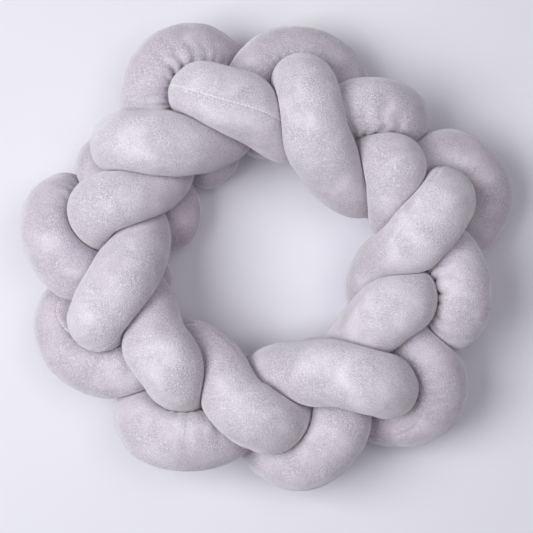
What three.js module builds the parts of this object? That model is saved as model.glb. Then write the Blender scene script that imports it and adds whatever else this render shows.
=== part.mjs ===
// Braided ring cushion: long stuffed velvet tubes plaited three abreast into a ring that lies on a floor.
// Millimetres, +Z up, floor at z = 0, ring centre on the Z axis.
import * as THREE from 'three';

const TUBE_RADIUS = 35;
const SECTION_SIDES = 14;
const STATION_STEP = 12.5;
const CURVE_DIVISIONS = 24;
const SEAM_GAP = 2.4;
const SEAM_GAP_SHARE = 1 / 8;
const BUTT_GAP = 0.8;

// drop of the outer and inner end of a top fold below its crest
const OUT_DROP = 8;
const IN_DROP = 24;

// heights of the tube's axis where it is hidden in the plait
const CROSS_UNDER_Z = 66;
const BOTTOM_Z = 34;
const LOBE_Z = 50;
const CROSS_RISE_Z = 62;

// how far a hidden crossing is drawn below the next fold, and where along that fold
const UNDER_SHARE = 0.7;
const UNDER_AT = 0.35;

// how far an outer arch runs on round the ring before it dives
const ARCH_TAIL = 23;

// where the tube climbs on its way from an inner lobe to the next fold
const RISE_SHARE = 0.7;
const RISE_OUT = 15;

// packing of the stuffed tubes against each other
const AXIS_SPACING = 50;
const FLOOR_AXIS_Z = 28;
const SETTLE_PASSES = 150;
const PUSH_RATE = 0.35;
const STIFFNESS = 0.3;
const BEND_ROUNDS = 5;
const SHORTENING = 0.004;
const EVENING = 0.1;
const OWN_LENGTH = 100;
const SQUEEZE_POWER = 8;
const LAYER_LEAN = 50;
const NEIGHBOUR_REACH = 3 * TUBE_RADIUS;
const FACING_LEAST = 1e-6;

const STATIONS_PER_FOLD = 8;
const NEXT_FOLD = 3;

// hold on each station of a fold: out, top, in, under, arch, bottom, lobe, rise
const HOLD_PLAN = [0.2, 0.2, 0.2, 0.08, 0.14, 0.05, 0.1, 0.05];
const HOLD_HEIGHT = [0.05, 0.08, 0.05, 0.03, 0.05, 0.03, 0.03, 0.03];

// which stations lie over the others where two tubes press on each other
const LAYER = [1, 1, 1, 0, 0.5, 0, 0, 0];

// one row for each top fold, clockwise from the left side: its ends and crest, the outer arch that
// follows it and the inner lobe that leads into it; chosen to 5 mm, heights and hidden lobes guessed
const FOLDS = [
  { out: [-165, 50], in: [-150, 55], topZ: 110, arch: [-90, 195, 85], lobe: [-125, -55] },
  { out: [-140, 105], in: [-95, 110], topZ: 115, arch: [60, 190, 55], lobe: [-95, 30] },
  { out: [-65, 155], in: [-10, 145], topZ: 120, arch: [120, 125, 90], lobe: [-45, 95] },
  { out: [35, 160], in: [55, 105], topZ: 125, arch: [220, 70, 55], lobe: [-20, 125] },
  { out: [125, 85], in: [135, 75], topZ: 110, arch: [175, -55, 95], lobe: [55, 105] },
  { out: [165, 55], in: [150, 20], topZ: 120, arch: [170, -155, 65], lobe: [95, 85] },
  { out: [135, -40], in: [115, -65], topZ: 110, arch: [45, -195, 80], lobe: [130, -5] },
  { out: [115, -125], in: [65, -115], topZ: 125, arch: [-110, -175, 95], lobe: [100, -60] },
  { out: [-5, -160], in: [-25, -155], topZ: 115, arch: [-210, -70, 60], lobe: [60, -110] },
  { out: [-85, -115], in: [-110, -95], topZ: 110, arch: [-210, 40, 85], lobe: [-25, -130] },
  { out: [-165, -60], in: [-135, -5], topZ: 120, arch: [-150, 75, 35], lobe: [-65, -120] },
];

// each tube is sewn shut end to end with the next one, in the hidden crossing after its last fold
const TUBES = [
  { name: 'strand_1', folds: 4 },
  { name: 'strand_2', folds: 4 },
  { name: 'strand_3', folds: 3 },
];

const at = (x, y, z) => new THREE.Vector3(x, y, z);
const between = (p, q, share) => p.clone().lerp(q, share);

// the visible stations are listed, the hidden ones lie between them
function foldStations(index) {
  const fold = FOLDS[index];
  const over = FOLDS[(index + 1) % FOLDS.length];
  const next = FOLDS[(index + NEXT_FOLD) % FOLDS.length];
  const flat = ([x, y]) => at(x, y, 0);
  const arch = flat(fold.arch);
  const clockwise = at(arch.y, -arch.x, 0).setLength(ARCH_TAIL);
  const outward = flat(next.out).setLength(RISE_OUT);
  const overhead = between(flat(over.out), flat(over.in), UNDER_AT);
  const under = between(between(flat(fold.in), arch, 0.5), overhead, UNDER_SHARE);
  const bottom = between(arch, flat(next.lobe), 0.5).add(clockwise);
  const rise = between(flat(next.lobe), flat(next.out), RISE_SHARE).add(outward);
  return [
    flat(fold.out).setZ(fold.topZ - OUT_DROP),
    between(flat(fold.out), flat(fold.in), 0.5).setZ(fold.topZ),
    flat(fold.in).setZ(fold.topZ - IN_DROP),
    under.setZ(CROSS_UNDER_Z),
    at(...fold.arch),
    bottom.setZ(BOTTOM_Z),
    flat(next.lobe).setZ(LOBE_Z),
    rise.setZ(CROSS_RISE_Z),
  ];
}

// the axis of all the tubes is one closed line that goes round the ring three times
function plaitAxis() {
  const stations = [];
  for (let count = 0; count < FOLDS.length; count += 1) {
    stations.push(...foldStations((count * NEXT_FOLD) % FOLDS.length));
  }
  const curve = new THREE.CatmullRomCurve3(stations, true, 'centripetal');
  curve.arcLengthDivisions = stations.length * CURVE_DIVISIONS;
  const length = curve.getLength();
  const count = Math.round(length / STATION_STEP);
  const points = [];
  const phases = [];
  for (let i = 0; i < count; i += 1) {
    const t = curve.getUtoTmapping(i / count);
    points.push(curve.getPoint(t));
    phases.push(t * stations.length);
  }
  return { points, phases, length };
}

function heldAt(phase, table) {
  const place = phase % STATIONS_PER_FOLD;
  const low = Math.floor(place);
  const share = place - low;
  return table[low] * (1 - share) + table[(low + 1) % STATIONS_PER_FOLD] * share;
}

// the stuffed tubes push each other apart, upper ones upwards, stay smooth and keep near their stations
function settle(axis) {
  const { phases, length } = axis;
  const count = axis.points.length;
  const own = OWN_LENGTH / (length / count);
  const home = axis.points;
  const plan = phases.map((phase) => heldAt(phase, HOLD_PLAN));
  const height = phases.map((phase) => heldAt(phase, HOLD_HEIGHT));
  const layer = phases.map((phase) => heldAt(phase, LAYER));
  let points = home.map((p) => p.clone());
  const wrap = (i) => (i + count) % count;
  for (let pass = 0; pass < SETTLE_PASSES; pass += 1) {
    let moved = points.map((p, i) => {
      const push = at(0, 0, 0);
      let deepest = 0;
      for (let j = 0; j < count; j += 1) {
        const apart = Math.min(Math.abs(i - j), count - Math.abs(i - j));
        if (apart <= own) {
          continue;
        }
        const far = p.distanceTo(points[j]);
        if (far < AXIS_SPACING) {
          const away = p.clone().sub(points[j]);
          away.z += LAYER_LEAN * (layer[i] - layer[j]);
          push.addScaledVector(away.normalize(), AXIS_SPACING - far);
          deepest = Math.max(deepest, AXIS_SPACING - far);
        }
      }
      return push.length() > 0 ? p.clone().addScaledVector(push.normalize(), PUSH_RATE * deepest) : p.clone();
    });
    for (let round = 0; round < BEND_ROUNDS; round += 1) {
      const sag = moved.map((p, i) => between(moved[wrap(i - 1)], moved[wrap(i + 1)], 0.5).sub(p));
      moved = moved.map((p, i) => {
        const along = moved[wrap(i + 1)].clone().sub(moved[wrap(i - 1)]).normalize();
        const bend = between(sag[wrap(i - 1)], sag[wrap(i + 1)], 0.5).sub(sag[i]);
        const q = p.clone().addScaledVector(bend, -STIFFNESS).addScaledVector(sag[i], SHORTENING);
        return q.addScaledVector(along, EVENING * sag[i].dot(along));
      });
    }
    points = moved.map((p, i) => {
      const q = p.clone();
      q.x += plan[i] * (home[i].x - q.x);
      q.y += plan[i] * (home[i].y - q.y);
      q.z += height[i] * (home[i].z - q.z);
      q.z = Math.max(q.z, FLOOR_AXIS_Z);
      return q;
    });
  }
  return points;
}

// direction and a twist-free pair of cross directions at each station of one tube
function framesOf(points, start, stop) {
  const frames = [];
  let side = at(0, 0, 1);
  for (let i = start; i <= stop; i += 1) {
    const index = i % points.length;
    const before = points[(index + points.length - 1) % points.length];
    const after = points[(index + 1) % points.length];
    const along = after.clone().sub(before).normalize();
    side = side.clone().addScaledVector(along, -side.dot(along)).normalize();
    const cross = along.clone().cross(side);
    frames.push({ index, p: points[index], along, side, cross });
  }
  return frames;
}

// how far the skin reaches from the axis in one direction: round, squeezed half way to each neighbour,
// drawn in on the inside of a bend and flat on the floor
function reach(frame, line, dir) {
  const off = at(0, 0, 0);
  let limit = Infinity;
  line.forEach((q, j) => {
    const apart = Math.min(Math.abs(2 * frame.index - j), line.length - Math.abs(2 * frame.index - j));
    off.copy(q).sub(frame.p);
    const facing = off.dot(dir);
    const far = off.length();
    if (apart >= 2 && far < NEIGHBOUR_REACH && facing > FACING_LEAST) {
      const room = (far - Math.min(SEAM_GAP, far * SEAM_GAP_SHARE)) * far / 2;
      limit = Math.min(limit, room / facing);
    }
  });
  let size = (limit ** -SQUEEZE_POWER + TUBE_RADIUS ** -SQUEEZE_POWER) ** (-1 / SQUEEZE_POWER);
  if (frame.p.z + size * dir.z < 0) {
    size = -frame.p.z / dir.z;
  }
  return size;
}

function sectionRing(frame, line, shift) {
  const ring = [];
  for (let s = 0; s < SECTION_SIDES; s += 1) {
    const angle = (2 * Math.PI * s) / SECTION_SIDES;
    const dir = frame.side.clone().multiplyScalar(Math.cos(angle));
    dir.addScaledVector(frame.cross, Math.sin(angle));
    const p = frame.p.clone().addScaledVector(dir, reach(frame, line, dir));
    p.addScaledVector(frame.along, shift);
    p.z = Math.max(p.z, 0);
    ring.push(p);
  }
  return ring;
}

function tubeGeometry(rings, firstCentre, lastCentre) {
  const verts = [...rings.flat(), firstCentre, lastCentre];
  const index = [];
  const n = SECTION_SIDES;
  for (let r = 0; r + 1 < rings.length; r += 1) {
    for (let s = 0; s < n; s += 1) {
      const a = r * n + s;
      const b = r * n + ((s + 1) % n);
      index.push(a, b, a + n, b, b + n, a + n);
    }
  }
  const last = (rings.length - 1) * n;
  for (let s = 0; s < n; s += 1) {
    index.push(rings.length * n, (s + 1) % n, s);
    index.push(rings.length * n + 1, last + s, last + ((s + 1) % n));
  }
  const geometry = new THREE.BufferGeometry();
  geometry.setAttribute('position', new THREE.Float32BufferAttribute(verts.flatMap((p) => p.toArray()), 3));
  geometry.setIndex(index);
  geometry.computeVertexNormals();
  return geometry;
}

const axis = plaitAxis();
const points = settle(axis);
const line = points.flatMap((p, i) => [p, between(p, points[(i + 1) % points.length], 0.5)]);

// station nearest to the hidden crossing that ends a run of folds
function seamStation(folds) {
  const phase = folds * STATIONS_PER_FOLD - 1;
  let best = 0;
  axis.phases.forEach((value, i) => {
    best = Math.abs(value - phase) < Math.abs(axis.phases[best] - phase) ? i : best;
  });
  return best;
}

const seams = [];
let foldsSoFar = 0;
TUBES.forEach((tube) => {
  foldsSoFar += tube.folds;
  seams.push(seamStation(foldsSoFar));
});

const group = new THREE.Group();
group.name = 'braided_cushion';
TUBES.forEach((tube, which) => {
  const start = seams[(which + TUBES.length - 1) % TUBES.length];
  const stop = seams[which] > start ? seams[which] : seams[which] + points.length;
  const frames = framesOf(points, start, stop);
  const first = frames[0];
  const last = frames[frames.length - 1];
  const shiftOf = (frame) => (frame === first ? BUTT_GAP / 2 : frame === last ? -BUTT_GAP / 2 : 0);
  const rings = frames.map((frame) => sectionRing(frame, line, shiftOf(frame)));
  const geometry = tubeGeometry(
    rings,
    first.p.clone().addScaledVector(first.along, shiftOf(first)),
    last.p.clone().addScaledVector(last.along, shiftOf(last)),
  );
  const material = new THREE.MeshStandardMaterial({ color: 0xb9b3c0, roughness: 0.95, metalness: 0 });
  material.name = 'velvet';
  const mesh = new THREE.Mesh(geometry, material);
  mesh.name = tube.name;
  group.add(mesh);
});

// centre the ring on the Z axis
const box = new THREE.Box3().setFromObject(group);
const middle = box.getCenter(at(0, 0, 0));
group.children.forEach((mesh) => mesh.geometry.translate(-middle.x, -middle.y, -box.min.z));

export default group;
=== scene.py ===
import bpy
import math
import numpy as np
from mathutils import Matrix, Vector, noise


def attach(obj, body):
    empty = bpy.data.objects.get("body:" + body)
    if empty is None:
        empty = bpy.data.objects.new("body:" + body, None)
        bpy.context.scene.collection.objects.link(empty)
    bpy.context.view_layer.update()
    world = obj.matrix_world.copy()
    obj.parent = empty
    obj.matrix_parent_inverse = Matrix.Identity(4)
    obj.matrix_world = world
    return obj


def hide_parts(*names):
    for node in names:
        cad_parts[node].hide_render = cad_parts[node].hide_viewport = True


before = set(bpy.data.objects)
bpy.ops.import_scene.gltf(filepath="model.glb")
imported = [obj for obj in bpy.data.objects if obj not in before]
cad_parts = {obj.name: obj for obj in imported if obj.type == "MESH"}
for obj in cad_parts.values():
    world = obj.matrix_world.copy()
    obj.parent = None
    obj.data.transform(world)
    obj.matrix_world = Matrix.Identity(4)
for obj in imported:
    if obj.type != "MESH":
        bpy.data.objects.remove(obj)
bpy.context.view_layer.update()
print("frame loaded:", sorted(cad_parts))

mm = 0.001
tiny = 1e-9

# the plait: one closed line that goes round the ring three times, lengths in mm
plait = {
    # one row for each top fold, clockwise from the left side: its ends and crest, the outer arch that
    # follows it and the inner lobe that leads into it; chosen to 5 mm, heights and hidden lobes guessed
    "folds": (
        {"out": (-165, 50), "in": (-150, 55), "topZ": 110, "arch": (-90, 195, 85), "lobe": (-125, -55)},
        {"out": (-140, 105), "in": (-95, 110), "topZ": 115, "arch": (60, 190, 55), "lobe": (-95, 30)},
        {"out": (-65, 155), "in": (-10, 145), "topZ": 120, "arch": (120, 125, 90), "lobe": (-45, 95)},
        {"out": (35, 160), "in": (55, 105), "topZ": 125, "arch": (220, 70, 55), "lobe": (-20, 125)},
        {"out": (125, 85), "in": (135, 75), "topZ": 110, "arch": (175, -55, 95), "lobe": (55, 105)},
        {"out": (165, 55), "in": (150, 20), "topZ": 120, "arch": (170, -155, 65), "lobe": (95, 85)},
        {"out": (135, -40), "in": (115, -65), "topZ": 110, "arch": (45, -195, 80), "lobe": (130, -5)},
        {"out": (115, -125), "in": (65, -115), "topZ": 125, "arch": (-110, -175, 95), "lobe": (100, -60)},
        {"out": (-5, -160), "in": (-25, -155), "topZ": 115, "arch": (-210, -70, 60), "lobe": (60, -110)},
        {"out": (-85, -115), "in": (-110, -95), "topZ": 110, "arch": (-210, 40, 85), "lobe": (-25, -130)},
        {"out": (-165, -60), "in": (-135, -5), "topZ": 120, "arch": (-150, 75, 35), "lobe": (-65, -120)},
    ),
    "nextFold": 3,
    "outDrop": 8, "inDrop": 24,            # ends of a top fold below its crest
    "crossUnderZ": 66, "bottomZ": 34, "lobeZ": 50, "crossRiseZ": 62,
    "underShare": 0.7, "underAt": 0.35,    # how far a crossing is drawn below the next fold, and where
    "archTail": 23,                        # how far an arch runs on round the ring before it dives
    "riseShare": 0.7, "riseOut": 15,       # where the tube climbs, on its way from a lobe to the next fold
    "curveSteps": 24, "step": 12.5,
}

# how the stuffed tubes push each other into place
packing = {
    "passes": 150, "spacing": 50, "floorAxisZ": 28, "ownLength": 100, "layerLean": 50,
    "push": 0.35, "stiffness": 0.3, "bendRounds": 5, "shortening": 0.004, "evening": 0.1,
    # out, top, in, under, arch, bottom, lobe, rise
    "holdPlan": (0.2, 0.2, 0.2, 0.08, 0.14, 0.05, 0.1, 0.05),
    "holdHeight": (0.05, 0.08, 0.05, 0.03, 0.05, 0.03, 0.03, 0.03),
    "layer": (1, 1, 1, 0, 0.5, 0, 0, 0),
}
stationsPerFold = len(packing["holdPlan"])


def between(first, second, share):
    return first + (second - first) * share


# the visible stations are listed, the hidden ones lie between them
def foldStations():
    folds = [{key: np.array(value, float) for key, value in row.items()} for row in plait["folds"]]
    stations = []
    for turn in range(len(folds)):
        k = turn * plait["nextFold"] % len(folds)
        fold = folds[k]
        above = folds[(k + 1) % len(folds)]
        following = folds[(k + plait["nextFold"]) % len(folds)]
        arch = fold["arch"][:2]
        clockwise = np.array([arch[1], -arch[0]]) / np.linalg.norm(arch)
        outward = following["out"] / np.linalg.norm(following["out"])
        overhead = between(above["out"], above["in"], plait["underAt"])
        under = between(between(fold["in"], arch, 0.5), overhead, plait["underShare"])
        bottom = between(arch, following["lobe"], 0.5) + plait["archTail"] * clockwise
        climb = between(following["lobe"], following["out"], plait["riseShare"])
        rise = climb + plait["riseOut"] * outward
        stations += [
            (*fold["out"], fold["topZ"] - plait["outDrop"]),
            (*between(fold["out"], fold["in"], 0.5), fold["topZ"]),
            (*fold["in"], fold["topZ"] - plait["inDrop"]),
            (*under, plait["crossUnderZ"]),
            tuple(fold["arch"]),
            (*bottom, plait["bottomZ"]),
            (*following["lobe"], plait["lobeZ"]),
            (*rise, plait["crossRiseZ"]),
        ]
    return np.array(stations, float)


def centripetalCurve(stations, perSpan):
    p0, p1, p2, p3 = (np.roll(stations, n, 0) for n in (1, 0, -1, -2))
    spans = ((p0, p1), (p1, p2), (p2, p3))
    d0, d1, d2 = (np.sqrt(np.linalg.norm(b - a, axis=1))[:, None] for a, b in spans)
    t1 = ((p1 - p0) / d0 - (p2 - p0) / (d0 + d1) + (p2 - p1) / d1) * d1
    t2 = ((p2 - p1) / d1 - (p3 - p1) / (d1 + d2) + (p3 - p2) / d2) * d1
    u = (np.arange(perSpan) / perSpan)[None, :, None]
    square = -3 * p1 + 3 * p2 - 2 * t1 - t2
    cube = 2 * p1 - 2 * p2 + t1 + t2
    a, b, c, d = (x[:, None, :] for x in (p1, t1, square, cube))
    fine = (a + b * u + c * u ** 2 + d * u ** 3).reshape(-1, 3)
    phase = np.arange(len(fine)) / perSpan
    return fine, phase


def evenSteps(fine, phase, step, span):
    closed = np.vstack([fine, fine[:1]])
    along = np.concatenate([[0], np.cumsum(np.linalg.norm(np.diff(closed, axis=0), axis=1))])
    count = round(along[-1] / step)
    places = np.arange(count) * along[-1] / count
    newPhase = np.interp(places, along, np.concatenate([phase, [span]]))
    points = np.stack([np.interp(places, along, closed[:, k]) for k in range(3)], 1)
    return points, newPhase, along[-1]


def settle(home, phase, length):
    count = len(home)
    index = np.arange(count)
    apart = np.abs(index[:, None] - index[None, :])
    apart = np.minimum(apart, count - apart)
    others = apart > packing["ownLength"] / (length / count)
    place = phase % stationsPerFold
    low = np.floor(place).astype(int)
    share = place - low

    def held(table):
        table = np.array(table)
        return table[low] * (1 - share) + table[(low + 1) % stationsPerFold] * share

    hold = np.stack([held(packing["holdPlan"])] * 2 + [held(packing["holdHeight"])], 1)
    layer = held(packing["layer"])
    lean = packing["layerLean"] * (layer[:, None] - layer[None, :])
    points = home.copy()
    for _ in range(packing["passes"]):
        offset = points[:, None, :] - points[None, :, :]
        far = np.linalg.norm(offset, axis=2)
        press = np.where(others & (far < packing["spacing"]), packing["spacing"] - far, 0)
        offset[:, :, 2] += lean                # upper folds push up, what passes below them down
        away = np.linalg.norm(offset, axis=2) + tiny
        push = (offset / away[:, :, None] * press[:, :, None]).sum(1)
        size = np.linalg.norm(push, axis=1, keepdims=True)
        points = points + packing["push"] * press.max(1)[:, None] * push / np.maximum(size, tiny)
        for _ in range(packing["bendRounds"]):
            before, after = np.roll(points, 1, 0), np.roll(points, -1, 0)
            sag = (before + after) / 2 - points
            along = after - before
            along /= np.linalg.norm(along, axis=1, keepdims=True)
            bend = (np.roll(sag, 1, 0) + np.roll(sag, -1, 0)) / 2 - sag
            points = points - packing["stiffness"] * bend + packing["shortening"] * sag
            points = points + packing["evening"] * along * (sag * along).sum(1, keepdims=True)
        points = points + hold * (home - points)
        points[:, 2] = np.maximum(points[:, 2], packing["floorAxisZ"])
    return points


stations = foldStations()
curve, curvePhase = centripetalCurve(stations, plait["curveSteps"])
home, phase, lineLength = evenSteps(curve, curvePhase, plait["step"], len(stations))
axis = settle(home, phase, lineLength)
print("plait settled:", len(axis), "stations,", round(lineLength), "mm of tube")

# the sewn tubes; lengths in mm
tubes = {
    "radius": 35, "gap": 0.5, "gapShare": 0.125, "buttGap": 0.8, "squeezePower": 9,
    "ringsPerStep": 6, "sides": 100, "seamCrowding": 0.55,
    "neighbourRadii": 3, "facingLeast": 1e-6, "noLimit": 1e6,
    "reachBlurAlong": 6, "reachBlurAround": 3, "creaseRounds": 14,
    "bendSteps": 4,                        # stations each way over which a bend's inside is found
    "phaseLead": 2,                        # stations that a tube may start before its first fold
    # gathered: how much the inside of each fold's arch is drawn together, and at which station
    # seam: fold, station and the way that the long seam faces there
    "strands": {
        "strand_1": {
            "folds": 4,
            "gathered": (1.3, 0.35, 0.15, 0.9),
            "gatherAt": (3.75, 3.7, 3.7, 4.3),
            "seam": (
                (0, 1, (0, 0, -1)),
                (1, 1, (-0.2, 0.1, -1)),
                (2, 1, (-0.3, 0.5, -1)),
                (3, 1, (0, 0, -1)),
            ),
        },
        "strand_2": {
            "folds": 4,
            "gathered": (0.4, 1.3, 0.35, 0.0),
            "gatherAt": (3.7, 3.6, 3.5, 4),
            "seam": (
                (0, 1, (0, 0.3, -1)),
                (1, 1, (0, 0, -1)),
                (2, 1, (0, -0.3, -1)),
                (3, -0.4, (-0.35, -0.65, 0.65)),
                (3, 0.2, (0.9, -0.4, 0.3)),
                (3, 4, (0, 0, -1)),
                (3, 6, (0, 0, -1)),
            ),
        },
        "strand_3": {
            "folds": 3,
            "gathered": (0.8, 0.3, 0.4),
            "gatherAt": (3.6, 3.7, 3.9),
            "seam": (
                (0, 1, (0.0, -0.05, 1)),
                (1, 1, (-0.45, 0.3, 0.84)),
                (1, 2, (-0.6, 0.1, 0.8)),
                (1, 4, (-0.1, 0, 1)),
                (1, 4.5, (0, -0.57, 0.82)),
                (1, 5, (0, -0.8, 0.5)),
                (2, 1, (0.3, 0.5, -0.8)),
                (2, 4, (-0.15, 0.1, 0.97)),
            ),
        },
    },
}

# uneven stuffing, gathers on the inside of bends, and the long seam; mm
dressing = {
    "lumpHeight": 1.6, "lumpSize": 58, "dentHeight": 0.7, "dentSize": 20,
    "gatherHeight": 6.5, "gatherPitch": 10, "gatherFrom": -0.8, "gatherFull": 0.4, "gatherWander": 0.45,
    "gatherSpread": 0.55, "wanderSize": 16, "ridgePower": 0.55, "ridgeLevel": 0.85,
    "unevenSize": 26, "unevenBase": 0.85, "unevenSpread": 0.7,
    "seamDepth": 0.8, "seamWidth": 1.3, "shoulderHeight": 0.35, "shoulderAt": 5.0, "shoulderWidth": 3.2,
    "puckerPitch": 5.4, "puckerDepth": 0.3, "puckerWidth": 4.5,
    "freeFrom": 0.72, "freeFull": 0.98,    # share of the radius at which lumps start and are full
    "seedShift": (13.1, 7.7, 3.3), "dentSeed": 5, "wanderSeed": 9, "unevenSeed": 3,
}


def smoothStep(low, high, x):
    t = np.clip((x - low) / (high - low), 0, 1)
    return t * t * (3 - 2 * t)


def fineAxis(points, count):
    u = (np.arange(count) / count)[None, :, None]
    p0, p1, p2, p3 = (np.roll(points, n, 0)[:, None, :] for n in (1, 0, -1, -2))
    line = p1 + 0.5 * u * (p2 - p0 + u * (2 * p0 - 5 * p1 + 4 * p2 - p3 + u * (3 * (p1 - p2) + p3 - p0)))
    return line.reshape(-1, 3)


def unit(v):
    return v / np.linalg.norm(v, axis=-1, keepdims=True)


def carrySide(along):
    side = np.zeros_like(along)
    current = np.array([0, 0, 1.0])
    for i, t in enumerate(along):
        current = current - t * (current @ t)
        current = current / np.linalg.norm(current)
        side[i] = current
    return side


def reachLimits(centre, dirs, line, index):
    offset = line - centre
    far = np.linalg.norm(offset, axis=1)
    apart = np.abs(np.arange(len(line)) - index)
    apart = np.minimum(apart, len(line) - apart)
    near = (apart >= tubes["ringsPerStep"]) & (far < tubes["neighbourRadii"] * tubes["radius"])
    offset, far = offset[near], far[near]
    room = (far ** 2 - np.minimum(tubes["gap"], far * tubes["gapShare"]) * far) / 2
    facing = dirs @ offset.T
    least = tubes["facingLeast"]
    return np.where(facing > least, room / np.maximum(facing, least), tubes["noLimit"]).min(1)


def blur(grid, rings, around):
    for _ in range(rings):
        padded = np.vstack([grid[:1], grid, grid[-1:]])
        grid = (padded[:-2] + 2 * grid + padded[2:]) / 4
    for _ in range(around):
        grid = (np.roll(grid, 1, 1) + 2 * grid + np.roll(grid, -1, 1)) / 4
    return grid


def smoothAlong(surface, rounds):
    for _ in range(rounds):
        surface[1:-1] = (surface[:-2] + 2 * surface[1:-1] + surface[2:]) / 4
    return surface


def noiseGrid(points, size, seed):
    shift = Vector([along * seed for along in dressing["seedShift"]])
    values = [noise.noise(Vector(p) / size + shift) for p in points.reshape(-1, 3)]
    return np.array(values).reshape(points.shape[:2])


def seamAngles(rows, phases, side, cross):
    places, angles = [], []
    for fold, station, facing in rows:
        i = int(np.argmin(np.abs(phases - (stationsPerFold * fold + station))))
        angle = math.atan2(np.dot(facing, cross[i]), np.dot(facing, side[i]))
        if angles:
            angle += 2 * math.pi * round((angles[-1] - angle) / (2 * math.pi))
        places.append(phases[i])
        angles.append(angle)
    return np.interp(phases, places, angles)


# a tube as rings of points: bent, squeezed half way to its neighbours, then dressed
def tubeSurface(index, phases, strand, line, seed):
    centre = line[index]
    ahead, behind = line[(index + 1) % len(line)], line[index - 1]
    along = unit(ahead - behind)
    side = carrySide(along)
    cross = np.cross(along, side)
    seam = seamAngles(strand["seam"], phases, side, cross)
    u = np.arange(tubes["sides"]) / tubes["sides"] * 2 * math.pi
    around = u - tubes["seamCrowding"] * np.sin(u)          # closer together along the seam
    angle = seam[:, None] + around[None, :]
    dirs = side[:, None, :] * np.cos(angle)[..., None] + cross[:, None, :] * np.sin(angle)[..., None]
    limit = np.array([reachLimits(centre[r], dirs[r], line, index[r]) for r in range(len(index))])
    power = tubes["squeezePower"]
    reach = (limit ** -power + tubes["radius"] ** -power) ** (-1 / power)
    reach = blur(reach, tubes["reachBlurAlong"], tubes["reachBlurAround"])
    surface = smoothAlong(centre[:, None, :] + dirs * reach[..., None], tubes["creaseRounds"])

    # which side of the bend each spot is on, 1 on its inside
    step = tubes["bendSteps"] * tubes["ringsPerStep"]
    ahead, behind = line[(index + step) % len(line)], line[index - step]
    inward = unit(((ahead + behind) / 2 - centre) * (1, 1, 0))
    inside = np.einsum("rk,rsk->rs", inward, dirs)
    length = np.cumsum(np.linalg.norm(np.diff(centre, axis=0, prepend=centre[:1]), axis=1))

    d = dressing
    lump = noiseGrid(surface, d["lumpSize"], seed) * d["lumpHeight"]
    dent = noiseGrid(surface, d["dentSize"], seed + d["dentSeed"]) * d["dentHeight"]
    wander = noiseGrid(surface, d["wanderSize"], seed + d["wanderSeed"]) * d["gatherWander"]
    ridge = np.abs(np.sin(math.pi * (length[:, None] / d["gatherPitch"] + wander)))
    patchy = noiseGrid(surface, d["unevenSize"], seed + d["unevenSeed"])
    uneven = d["unevenBase"] + d["unevenSpread"] * patchy
    fold = np.clip(phases // stationsPerFold, 0, strand["folds"] - 1).astype(int)
    gathered = np.array(strand["gathered"])[fold]
    gatherAt = np.array(strand["gatherAt"])[fold]
    onArch = gathered * np.exp(-((phases % stationsPerFold - gatherAt) / d["gatherSpread"]) ** 2)
    drawn = smoothStep(d["gatherFrom"], d["gatherFull"], inside) * onArch[:, None] * uneven
    gather = (ridge ** d["ridgePower"] - d["ridgeLevel"]) * d["gatherHeight"] * drawn
    across = np.abs((around + math.pi) % (2 * math.pi) - math.pi) * tubes["radius"]
    groove = -d["seamDepth"] * np.exp(-(across / d["seamWidth"]) ** 2)
    groove += d["shoulderHeight"] * np.exp(-((across - d["shoulderAt"]) / d["shoulderWidth"]) ** 2)
    pull = np.exp(-(across / d["puckerWidth"]) ** 2)[None, :] * d["puckerDepth"]
    pucker = -pull * np.cos(2 * math.pi * length / d["puckerPitch"])[:, None]
    free = smoothStep(d["freeFrom"], d["freeFull"], reach / tubes["radius"])   # not on squeezed sides
    dressed = (lump + dent + pucker) * free + gather + groove[None, :]
    surface = surface + dirs * dressed[..., None]
    for end, way in ((0, 0.5), (-1, -0.5)):                     # a hair of room where two tubes are joined
        surface[end] += along[end] * tubes["buttGap"] * way
    surface[..., 2] = np.maximum(surface[..., 2], 0)
    return {"surface": surface, "dirs": dirs, "phases": phases}


def addMesh(name, points, faces):
    mesh = bpy.data.meshes.new(name)
    mesh.from_pydata((points * mm).tolist(), [], faces)
    mesh.shade_smooth()
    piece = bpy.data.objects.new(name, mesh)
    bpy.context.scene.collection.objects.link(piece)
    return piece


def tubePiece(name, tube, shift):
    rings, sides = tube["surface"].shape[:2]
    ends = [tube["surface"][end].mean(0) for end in (0, -1)]
    points = np.vstack([tube["surface"].reshape(-1, 3), ends]) - shift
    a = np.arange(rings - 1)[:, None] * sides + np.arange(sides)[None, :]
    b = np.arange(rings - 1)[:, None] * sides + (np.arange(sides)[None, :] + 1) % sides
    faces = np.stack([a, b, b + sides, a + sides], -1).reshape(-1, 4).tolist()
    last = (rings - 1) * sides
    for s in range(sides):
        faces.append([rings * sides, (s + 1) % sides, s])
        faces.append([rings * sides + 1, last + s, last + (s + 1) % sides])
    return addMesh(name, points, faces)


def buttStation(folds):
    return int(np.argmin(np.abs(phase - (folds * stationsPerFold - 1))))


count = tubes["ringsPerStep"]
line = fineAxis(axis, count)
closedPhase = np.append(phase, len(stations))
linePhase = np.interp(np.arange(len(line)) / count, np.arange(len(axis) + 1), closedPhase)
shaped = {}
foldsBefore = 0
for name, strand in tubes["strands"].items():
    start = buttStation(foldsBefore if foldsBefore else len(plait["folds"])) * count
    stop = buttStation(foldsBefore + strand["folds"]) * count
    index = np.arange(start, stop + 1 if stop > start else stop + len(line) + 1) % len(line)
    ahead = linePhase[index] - stationsPerFold * foldsBefore + tubes["phaseLead"]
    phases = ahead % len(stations) - tubes["phaseLead"]
    shaped[name] = tubeSurface(index, phases, strand, line, len(shaped) + 1)
    foldsBefore += strand["folds"]
    print(name, "shaped:", len(index), "rings")

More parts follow.
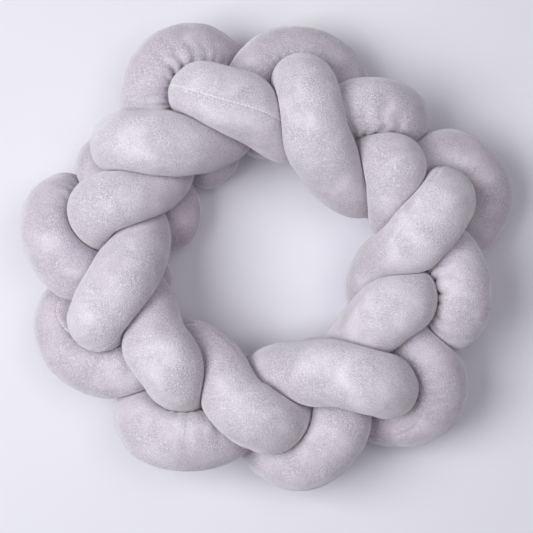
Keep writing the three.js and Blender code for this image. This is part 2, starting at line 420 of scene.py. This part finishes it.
# the ring stands centred on the CAD part
lows = np.min([t["surface"].reshape(-1, 3).min(0) for t in shaped.values()], 0)
highs = np.max([t["surface"].reshape(-1, 3).max(0) for t in shaped.values()], 0)
ringShift = np.array([(lows[0] + highs[0]) / 2, (lows[1] + highs[1]) / 2, 0])
strandPieces = {}
for name, tube in shaped.items():
    piece = tubePiece("velvet_" + name, tube, ringShift)
    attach(piece, "root")
    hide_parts(name)
    strandPieces[name] = piece
print("tubes made:", sum(len(p.data.polygons) for p in strandPieces.values()), "faces")

# pale thread on the stretches of seam that show; phases count eight to a fold; mm
stitching = {
    "pitch": 3.8, "length": 3.0, "radius": 0.62, "proud": 0.38, "sides": 8,
    # place along half a stitch and share of its radius there
    "profile": ((-1, 0.35), (-0.75, 0.85), (-0.3, 1), (0.3, 1), (0.75, 0.85), (1, 0.35)),
    "runs": (("strand_3", -0.45, 2.5), ("strand_2", 23.55, 24.3), ("strand_3", 18.8, 20.2)),
}


def stitchPoints(place, along, out):
    side = np.cross(along, out)
    points = []
    for far, thickness in stitching["profile"]:
        for s in range(stitching["sides"]):
            turn = 2 * math.pi * s / stitching["sides"]
            reach = (out * math.cos(turn) + side * math.sin(turn)) * stitching["radius"] * thickness
            points.append(place + along * far * stitching["length"] / 2 + reach)
    return points


def stitchFaces(base):
    sides = stitching["sides"]
    rings = len(stitching["profile"])
    faces = []
    for r in range(rings - 1):
        for s in range(sides):
            a = base + r * sides + s
            b = base + r * sides + (s + 1) % sides
            faces.append([a, b, b + sides, a + sides])
    faces.append([base + s for s in reversed(range(sides))])
    faces.append([base + (rings - 1) * sides + s for s in range(sides)])
    return faces


def makeStitches(shift):
    points, faces = [], []
    for name, first, last in stitching["runs"]:
        tube = shaped[name]
        shown = np.nonzero((tube["phases"] >= first) & (tube["phases"] <= last))[0]
        path = tube["surface"][shown, 0]
        far = np.concatenate([[0], np.cumsum(np.linalg.norm(np.diff(path, axis=0), axis=1))])
        for place in np.arange(stitching["pitch"], far[-1], stitching["pitch"]):
            spot = np.array([np.interp(place, far, path[:, k]) for k in range(3)])
            near = shown[int(np.argmin(np.abs(far - place)))]
            out = tube["dirs"][near, 0]
            nextRing = min(near + 1, len(tube["surface"]) - 1)
            along = tube["surface"][nextRing, 0] - tube["surface"][near - 1, 0]
            along = unit(along - out * (along @ out))
            faces += stitchFaces(len(points))
            points += stitchPoints(spot + out * stitching["proud"], along, out)
    piece = addMesh("seam_stitches", np.array(points) - shift, faces)
    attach(piece, "root")
    return piece


stitches = makeStitches(ringShift)
print("stitches made:", len(stitches.data.polygons), "faces")


# a Mix node's colour sockets: first colour, second colour, result
mixFirst, mixSecond, mixResult = 6, 7, 2

# fine speckle of fibre ends, shared by the cloth and the thread
fibre = {
    "sockets": (
        ("Dark", "NodeSocketColor"),
        ("Pale", "NodeSocketColor"),
        ("Grain Scale", "NodeSocketFloat"),
        ("Patch Scale", "NodeSocketFloat"),
        ("Smooth Grain", "NodeSocketFloat"),
        ("Ruffled Grain", "NodeSocketFloat"),
        ("Patch Shift", "NodeSocketVector"),
    ),
    # scale socket, factor on it, detail, distortion, and the range that is spread to 0..1
    "grain": ("Grain Scale", 1.0, 2, 0.3, 0.32, 0.68),
    "tufts": ("Grain Scale", 0.4, 1, 0.6, 0.3, 0.7),
    "brushed": ("Patch Scale", 1.0, 1, 1.4, 0.26, 0.74),
    "strokes": ("Patch Scale", 3.0, 1, 1.0, 0.26, 0.74),
    "ruffled": ("Patch Scale", 1.7, 1, 0.8, 0.25, 0.75),
    "tuftShare": 0.2, "strokeShare": 0.35,
}


def fibreGroup():
    group = bpy.data.node_groups.new("fibreSpeckle", "ShaderNodeTree")
    for socket, kind in fibre["sockets"]:
        group.interface.new_socket(socket, in_out="INPUT", socket_type=kind)
    group.interface.new_socket("Colour", in_out="OUTPUT", socket_type="NodeSocketColor")
    group.interface.new_socket("Height", in_out="OUTPUT", socket_type="NodeSocketFloat")
    new, link = group.nodes.new, group.links.new
    given, result = new("NodeGroupInput"), new("NodeGroupOutput")
    place = new("ShaderNodeTexCoord")

    shifted = new("ShaderNodeVectorMath")
    link(place.outputs["Object"], shifted.inputs[0])
    link(given.outputs["Patch Shift"], shifted.inputs[1])

    def noiseAt(scale, factor, detail, distortion):
        size = new("ShaderNodeMath")
        size.operation = "MULTIPLY"
        size.inputs[1].default_value = factor
        link(given.outputs[scale], size.inputs[0])
        field = new("ShaderNodeTexNoise")
        field.inputs["Detail"].default_value = detail
        field.inputs["Distortion"].default_value = distortion
        link(shifted.outputs[0], field.inputs["Vector"])
        link(size.outputs[0], field.inputs["Scale"])
        return field.outputs["Fac"]

    def spread(value, low, high):
        ranged = new("ShaderNodeMapRange")
        ranged.interpolation_type = "SMOOTHSTEP"
        ranged.inputs["From Min"].default_value = low
        ranged.inputs["From Max"].default_value = high
        link(value, ranged.inputs["Value"])
        return ranged.outputs["Result"]

    def blend(first, second, share):
        mixed = new("ShaderNodeMix")
        link(first, mixed.inputs["A"])
        link(second, mixed.inputs["B"])
        if isinstance(share, float):
            mixed.inputs["Factor"].default_value = share
        else:
            link(share, mixed.inputs["Factor"])
        return mixed.outputs["Result"]

    def times(first, second):
        product = new("ShaderNodeMath")
        product.operation = "MULTIPLY"
        link(first, product.inputs[0])
        link(second, product.inputs[1])
        return product.outputs[0]

    def field(name):
        scale, factor, detail, distortion, low, high = fibre[name]
        return spread(noiseAt(scale, factor, detail, distortion), low, high)

    pile = blend(field("grain"), field("tufts"), fibre["tuftShare"])
    # 0 lies smooth, 1 stands up and looks paler
    nap = blend(field("brushed"), field("strokes"), fibre["strokeShare"])
    depth = new("ShaderNodeMapRange")               # ruffled pile shows more of its grain
    link(field("ruffled"), depth.inputs["Value"])
    link(given.outputs["Smooth Grain"], depth.inputs["To Min"])
    link(given.outputs["Ruffled Grain"], depth.inputs["To Max"])
    tone = blend(nap, pile, depth.outputs["Result"])
    colour = new("ShaderNodeMix")
    colour.data_type = "RGBA"
    link(tone, colour.inputs["Factor"])
    link(given.outputs["Dark"], colour.inputs[mixFirst])
    link(given.outputs["Pale"], colour.inputs[mixSecond])
    link(colour.outputs[mixResult], result.inputs["Colour"])
    link(times(pile, depth.outputs["Result"]), result.inputs["Height"])
    return group


fibres = fibreGroup()


def clothMaterial(name, look):
    material = bpy.data.materials.new(name)
    material.use_nodes = True
    tree = material.node_tree
    shader = tree.nodes["Principled BSDF"]
    speckle = tree.nodes.new("ShaderNodeGroup")
    speckle.node_tree = fibres
    speckle.inputs["Dark"].default_value = (*look["dark"], 1)
    speckle.inputs["Pale"].default_value = (*look["pale"], 1)
    for socket, key in (("Grain Scale", "grainScale"), ("Patch Scale", "patchScale"),
                        ("Smooth Grain", "smoothGrain"), ("Ruffled Grain", "ruffledGrain")):
        speckle.inputs[socket].default_value = look[key]
    speckle.inputs["Patch Shift"].default_value = look["patchShift"]
    bump = tree.nodes.new("ShaderNodeBump")
    bump.inputs["Strength"].default_value = look["bump"]
    bump.inputs["Distance"].default_value = look["pileDepth"]
    turned = tree.nodes.new("ShaderNodeLayerWeight")        # painted highlight on edges turned from view
    share = tree.nodes.new("ShaderNodeMapRange")
    share.interpolation_type = "SMOOTHSTEP"
    share.inputs["From Min"].default_value = look["paintedRimFrom"]
    share.inputs["From Max"].default_value = look["paintedRimFull"]
    share.inputs["To Max"].default_value = look["paintedRimShare"]
    place = tree.nodes.new("ShaderNodeTexCoord")
    split = tree.nodes.new("ShaderNodeSeparateXYZ")
    height = tree.nodes.new("ShaderNodeMapRange")           # painted shade: darker low down
    height.inputs["From Min"].default_value = look["paintedShadeLow"]
    height.inputs["From Max"].default_value = look["paintedShadeHigh"]
    # painted shade: the colour is multiplied towards a darker lilac tint near the floor, standing in for
    # the shade under the top folds
    low = tree.nodes.new("ShaderNodeMix")
    low.data_type = "RGBA"
    low.inputs[mixFirst].default_value = (*look["paintedShadeTint"], 1)
    low.inputs[mixSecond].default_value = (1, 1, 1, 1)
    shade = tree.nodes.new("ShaderNodeMix")
    shade.data_type = "RGBA"
    shade.blend_type = "MULTIPLY"
    shade.inputs["Factor"].default_value = 1
    tree.links.new(place.outputs["Object"], split.inputs[0])
    tree.links.new(split.outputs["Z"], height.inputs["Value"])
    tree.links.new(height.outputs["Result"], low.inputs["Factor"])
    tree.links.new(speckle.outputs["Colour"], shade.inputs[mixFirst])
    tree.links.new(low.outputs[mixResult], shade.inputs[mixSecond])
    # painted highlight: the base colour is mixed towards the pale rim colour at grazing view, standing in
    # for sheen on the pile ends
    paintedRim = tree.nodes.new("ShaderNodeMix")
    paintedRim.data_type = "RGBA"
    paintedRim.inputs[mixSecond].default_value = (*look["paintedRim"], 1)
    tree.links.new(turned.outputs["Facing"], share.inputs["Value"])
    tree.links.new(share.outputs["Result"], paintedRim.inputs["Factor"])
    tree.links.new(shade.outputs[mixResult], paintedRim.inputs[mixFirst])
    tree.links.new(paintedRim.outputs[mixResult], shader.inputs["Base Color"])
    tree.links.new(speckle.outputs["Height"], bump.inputs["Height"])
    tree.links.new(bump.outputs["Normal"], shader.inputs["Normal"])
    shader.inputs["Roughness"].default_value = look["roughness"]
    shader.inputs["Specular IOR Level"].default_value = look["specular"]
    shader.inputs["Sheen Weight"].default_value = look["sheen"]
    shader.inputs["Sheen Roughness"].default_value = look["sheenRoughness"]
    shader.inputs["Sheen Tint"].default_value = (*look["sheenTint"], 1)
    return material


velvet = {
    "dark": (0.57, 0.515, 0.605), "pale": (0.985, 0.955, 1.0),
    "grainScale": 820, "patchScale": 15, "patchShift": (0.17, 0.59, 0.2),
    "smoothGrain": 0.38, "ruffledGrain": 0.95,
    # the rim colour and its range are a painted highlight along the edges
    "paintedRim": (1.0, 0.97, 1.0), "paintedRimFrom": 0.45, "paintedRimFull": 0.9, "paintedRimShare": 0.75,
    "bump": 0.85, "pileDepth": 0.0013, "roughness": 0.95, "specular": 0.1,
    "sheen": 0.7, "sheenRoughness": 0.3, "sheenTint": (0.99, 0.97, 1.0),
    # the tint and its heights are painted shade, darker towards the bottom
    "paintedShadeTint": (0.8, 0.755, 0.805), "paintedShadeLow": 0.05, "paintedShadeHigh": 0.15,
}
thread = {
    "dark": (0.90, 0.885, 0.915), "pale": (1.0, 0.99, 1.0),
    "grainScale": 1500, "patchScale": 120, "patchShift": (0, 0, 0),
    "smoothGrain": 0.5, "ruffledGrain": 0.8,
    # the rim colour and its range are a painted highlight along the edges
    "paintedRim": (0.95, 0.95, 0.97), "paintedRimFrom": 0.4, "paintedRimFull": 0.9, "paintedRimShare": 0.3,
    "bump": 0.4, "pileDepth": 0.0002, "roughness": 0.7, "specular": 0.3,
    "sheen": 0.15, "sheenRoughness": 0.5, "sheenTint": (1.0, 1.0, 1.0),
    # the tint and its heights are painted shade, darker towards the bottom
    "paintedShadeTint": (0.9, 0.89, 0.9), "paintedShadeLow": 0.05, "paintedShadeHigh": 0.15,
}
velvetCloth = clothMaterial("lilacVelvet", velvet)
for piece in strandPieces.values():
    piece.data.materials.append(velvetCloth)
stitches.data.materials.append(clothMaterial("paleThread", thread))
print("velvet and thread made")

studio = {
    "floorSize": 6.0, "floorColour": (0.82, 0.82, 0.875), "floorRoughness": 0.9, "floorSpecular": 0.15,
    "cameraHeight": 1.6, "sensorWidth": 36,
    # the picture is frameWidth wide at scaleHeight, with the plait's origin at ringPixel
    "scaleHeight": 0.115, "frameWidth": 0.533, "imageSize": 533, "ringPixel": (267, 255),
    "roomColour": (0.99, 0.95, 1.0), "roomStrength": 0.13,
    "lights": (
        # name, place, size, power, colour
        ("windowLight", (-1.25, 0.0, 2.05), 1.4, 45, (0.985, 0.99, 1.0)),
        ("overheadLight", (0.45, 0.2, 2.2), 1.2, 12, (0.99, 0.97, 1.0)),
    ),
}


def makeFloor():
    half = studio["floorSize"] / 2
    mesh = bpy.data.meshes.new("floor")
    corners = [(-half, -half, 0), (half, -half, 0), (half, half, 0), (-half, half, 0)]
    mesh.from_pydata(corners, [], [(0, 1, 2, 3)])
    floor = bpy.data.objects.new("floor", mesh)
    bpy.context.scene.collection.objects.link(floor)
    material = bpy.data.materials.new("floorPaint")
    material.use_nodes = True
    shader = material.node_tree.nodes["Principled BSDF"]
    shader.inputs["Base Color"].default_value = (*studio["floorColour"], 1)
    shader.inputs["Roughness"].default_value = studio["floorRoughness"]
    shader.inputs["Specular IOR Level"].default_value = studio["floorSpecular"]
    mesh.materials.append(material)


def makeLights():
    world = bpy.data.worlds.new("softRoom")
    bpy.context.scene.world = world
    world.use_nodes = True
    back = world.node_tree.nodes["Background"]
    back.inputs["Color"].default_value = (*studio["roomColour"], 1)
    back.inputs["Strength"].default_value = studio["roomStrength"]
    for name, place, size, power, colour in studio["lights"]:
        light = bpy.data.lights.new(name, "AREA")
        light.size = size
        light.energy = power
        light.color = colour
        lamp = bpy.data.objects.new(name, light)
        lamp.location = place
        lamp.rotation_euler = (-Vector(place)).to_track_quat("-Z", "Y").to_euler()
        bpy.context.scene.collection.objects.link(lamp)


def makeCamera():
    data = bpy.data.cameras.new("overhead")
    data.sensor_width = studio["sensorWidth"]
    data.lens = data.sensor_width * (studio["cameraHeight"] - studio["scaleHeight"]) / studio["frameWidth"]
    camera = bpy.data.objects.new("overhead", data)
    perPixel = studio["frameWidth"] / studio["imageSize"]
    middle = studio["imageSize"] / 2
    camera.location = (
        (middle - studio["ringPixel"][0]) * perPixel - ringShift[0] * mm,
        (studio["ringPixel"][1] - middle) * perPixel - ringShift[1] * mm,
        studio["cameraHeight"],
    )
    bpy.context.scene.collection.objects.link(camera)
    bpy.context.scene.camera = camera


makeFloor()
makeLights()
makeCamera()
bpy.context.scene.view_settings.view_transform = "Standard"
print("studio set")
